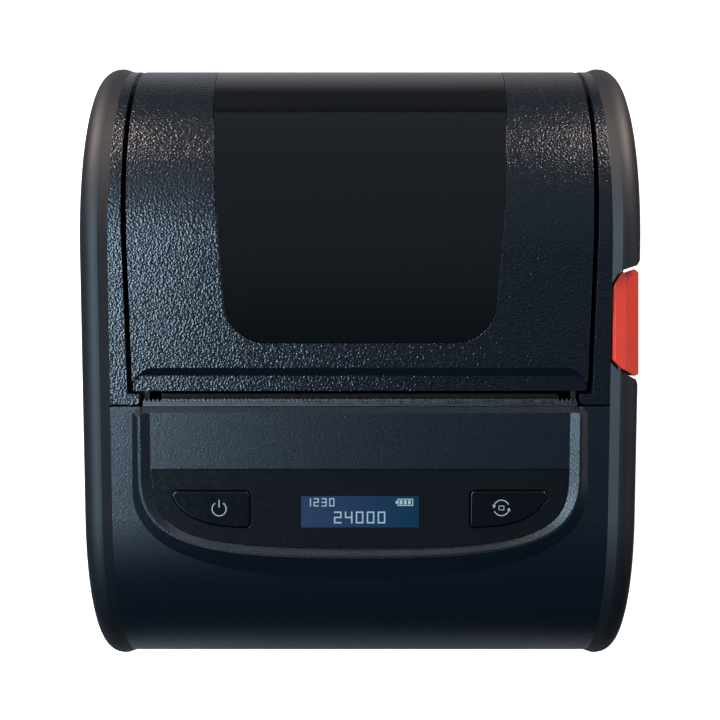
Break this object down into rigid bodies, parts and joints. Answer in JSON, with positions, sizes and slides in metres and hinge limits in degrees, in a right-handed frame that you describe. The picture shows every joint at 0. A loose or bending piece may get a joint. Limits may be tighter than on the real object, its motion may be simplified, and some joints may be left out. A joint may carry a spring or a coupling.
{
  "type": "portable label printer",
  "caption": "Portable thermal label printer with a hinged windowed lid, roll bay, serrated tear bar, two keys, a small display and a side release button.",
  "frame": {"origin": "on the surface it lies on, under the middle of the printer", "axes": "+Z out of the front face that carries the lid and the panel, +Y towards the rounded end with the lid hinge, +X to the side with the release button"},
  "size_m": [0.1066, 0.1252, 0.0666],
  "materials": {
    "grain_dark": "coarse spark-textured moulding, blue-black",
    "fine_dark": "fine matte moulding, blue-black",
    "rubber_dark": "smooth soft-touch rubber, blue-black",
    "smoked_window": "smoked clear plastic, polished",
    "panel_gloss": "polished black plastic",
    "key_gloss": "polished black plastic with a white mark",
    "release_orange": "satin red-orange plastic",
    "inner_plastic": "plain dark moulding",
    "white_plastic": "natural acetal",
    "steel": "pressed steel sheet",
    "bright_steel": "ground and plated steel",
    "aluminium": "anodised aluminium",
    "ceramic_head": "dark glazed alumina strip",
    "platen_rubber": "ground silicone rubber",
    "board_green": "solder mask on glass epoxy",
    "chip_black": "epoxy packages",
    "display_glass": "lit display glass",
    "ribbon_orange": "polyimide film",
    "battery_wrap": "shrink sleeve"
  },
  "bodies": {
    "casing": {"back_shell": "fine_dark", "upper_shell": "grain_dark", "front_cover": "fine_dark", "left_bumper": "rubber_dark", "right_bumper": "rubber_dark", "battery_door": "fine_dark", "case_screws": "bright_steel", "control_panel": "panel_gloss", "oled_display": "display_glass", "display_carrier": "inner_plastic", "key_board": "board_green", "key_switches": "steel", "tear_bar": "steel", "tear_bar_screws": "bright_steel", "mechanism_frame": "steel", "idler_post": "bright_steel", "stepper_motor": "steel", "motor_screws": "bright_steel", "head_pivot_pin": "bright_steel", "head_springs": "bright_steel", "hinge_pin": "bright_steel", "release_pin": "bright_steel", "label_bay": "inner_plastic", "guide_pinion_pin": "bright_steel", "battery_pack": "battery_wrap", "main_board": "board_green", "board_chips": "chip_black", "radio_module": "steel", "buzzer": "chip_black", "charger_board": "board_green", "usb_socket": "bright_steel", "head_ribbon": "ribbon_orange", "panel_ribbon": "ribbon_orange"},
    "lid": {"lid_cover": "grain_dark", "lid_window": "smoked_window", "lid_frame": "inner_plastic", "platen_bushes": "inner_plastic"},
    "platen": {"platen_shaft": "bright_steel", "platen_rubber": "platen_rubber", "platen_gear": "white_plastic"},
    "idler": {"idler_gear": "white_plastic"},
    "motor": {"motor_pinion": "white_plastic", "motor_shaft": "bright_steel"},
    "head": {"print_head": "ceramic_head", "heat_sink": "aluminium"},
    "latch": {"latch_bar": "steel"},
    "release": {"release_button": "release_orange"},
    "power_key": {"power_button": "key_gloss"},
    "feed_key": {"feed_button": "key_gloss"},
    "left_guide": {"left_roll_guide": "inner_plastic"},
    "right_guide": {"right_roll_guide": "inner_plastic"},
    "guide_gear": {"guide_pinion": "white_plastic"},
    "left_hub": {"left_roll_hub": "white_plastic"},
    "right_hub": {"right_roll_hub": "white_plastic"}
  },
  "joints": [
    {"name": "lid_hinge", "type": "hinge", "parent": "casing", "child": "lid", "pos_m": [0, 0.0569, 0.017], "axis": [-1, 0, 0], "range_deg": [0, 95]},
    {"name": "platen_spin", "type": "hinge", "parent": "lid", "child": "platen", "pos_m": [0, -0.0008, 0.052], "axis": [1, 0, 0], "continuous": true},
    {"name": "idler_spin", "type": "hinge", "parent": "casing", "child": "idler", "pos_m": [-0.0432, -0.00765, 0.04071], "axis": [1, 0, 0], "continuous": true},
    {"name": "motor_spin", "type": "hinge", "parent": "casing", "child": "motor", "pos_m": [-0.0425, -0.01798, 0.0359], "axis": [1, 0, 0], "continuous": true},
    {"name": "head_pivot", "type": "hinge", "parent": "casing", "child": "head", "pos_m": [0, -0.0092, 0.0482], "axis": [1, 0, 0], "range_deg": [0, 1.5], "stiffness_Nm_per_rad": 0.2, "springref_deg": -5.73},
    {"name": "latch_turn", "type": "hinge", "parent": "casing", "child": "latch", "pos_m": [0, -0.005, 0.031], "axis": [1, 0, 0], "range_deg": [0, 9]},
    {"name": "release_rock", "type": "hinge", "parent": "casing", "child": "release", "pos_m": [0.0496, 0.0076, 0.0618], "axis": [0, 1, 0], "range_deg": [0, 4.3], "stiffness_Nm_per_rad": 0.02, "springref_deg": -2.86},
    {"name": "power_press", "type": "slide", "parent": "casing", "child": "power_key", "axis": [0, 0.0854, -0.9963], "range_m": [0, 0.0008], "stiffness_N_per_m": 400, "springref_m": -0.0005},
    {"name": "feed_press", "type": "slide", "parent": "casing", "child": "feed_key", "axis": [0, 0.0854, -0.9963], "range_m": [0, 0.0008], "stiffness_N_per_m": 400, "springref_m": -0.0005},
    {"name": "right_guide_slide", "type": "slide", "parent": "casing", "child": "right_guide", "axis": [-1, 0, 0], "range_m": [0, 0.025]},
    {"name": "left_guide_slide", "type": "slide", "parent": "casing", "child": "left_guide", "axis": [1, 0, 0], "range_m": [0, 0.025]},
    {"name": "guide_gear_turn", "type": "hinge", "parent": "casing", "child": "guide_gear", "pos_m": [0, 0.0255, 0.0035], "axis": [0, 0, 1], "range_deg": [-287, 0]},
    {"name": "right_hub_spin", "type": "hinge", "parent": "right_guide", "child": "right_hub", "pos_m": [0.039, 0.0255, 0.0324], "axis": [1, 0, 0], "continuous": true},
    {"name": "left_hub_spin", "type": "hinge", "parent": "left_guide", "child": "left_hub", "pos_m": [-0.039, 0.0255, 0.0324], "axis": [1, 0, 0], "continuous": true}
  ],
  "couplings": [
    {"joint": "idler_spin", "follows": "platen_spin", "ratio": -0.69231},
    {"joint": "motor_spin", "follows": "platen_spin", "ratio": 1.5},
    {"joint": "release_rock", "follows": "latch_turn", "ratio": 0.466},
    {"joint": "left_guide_slide", "follows": "right_guide_slide", "ratio": 1},
    {"joint": "guide_gear_turn", "follows": "right_guide_slide", "rad_per_m": -200}
  ]
}
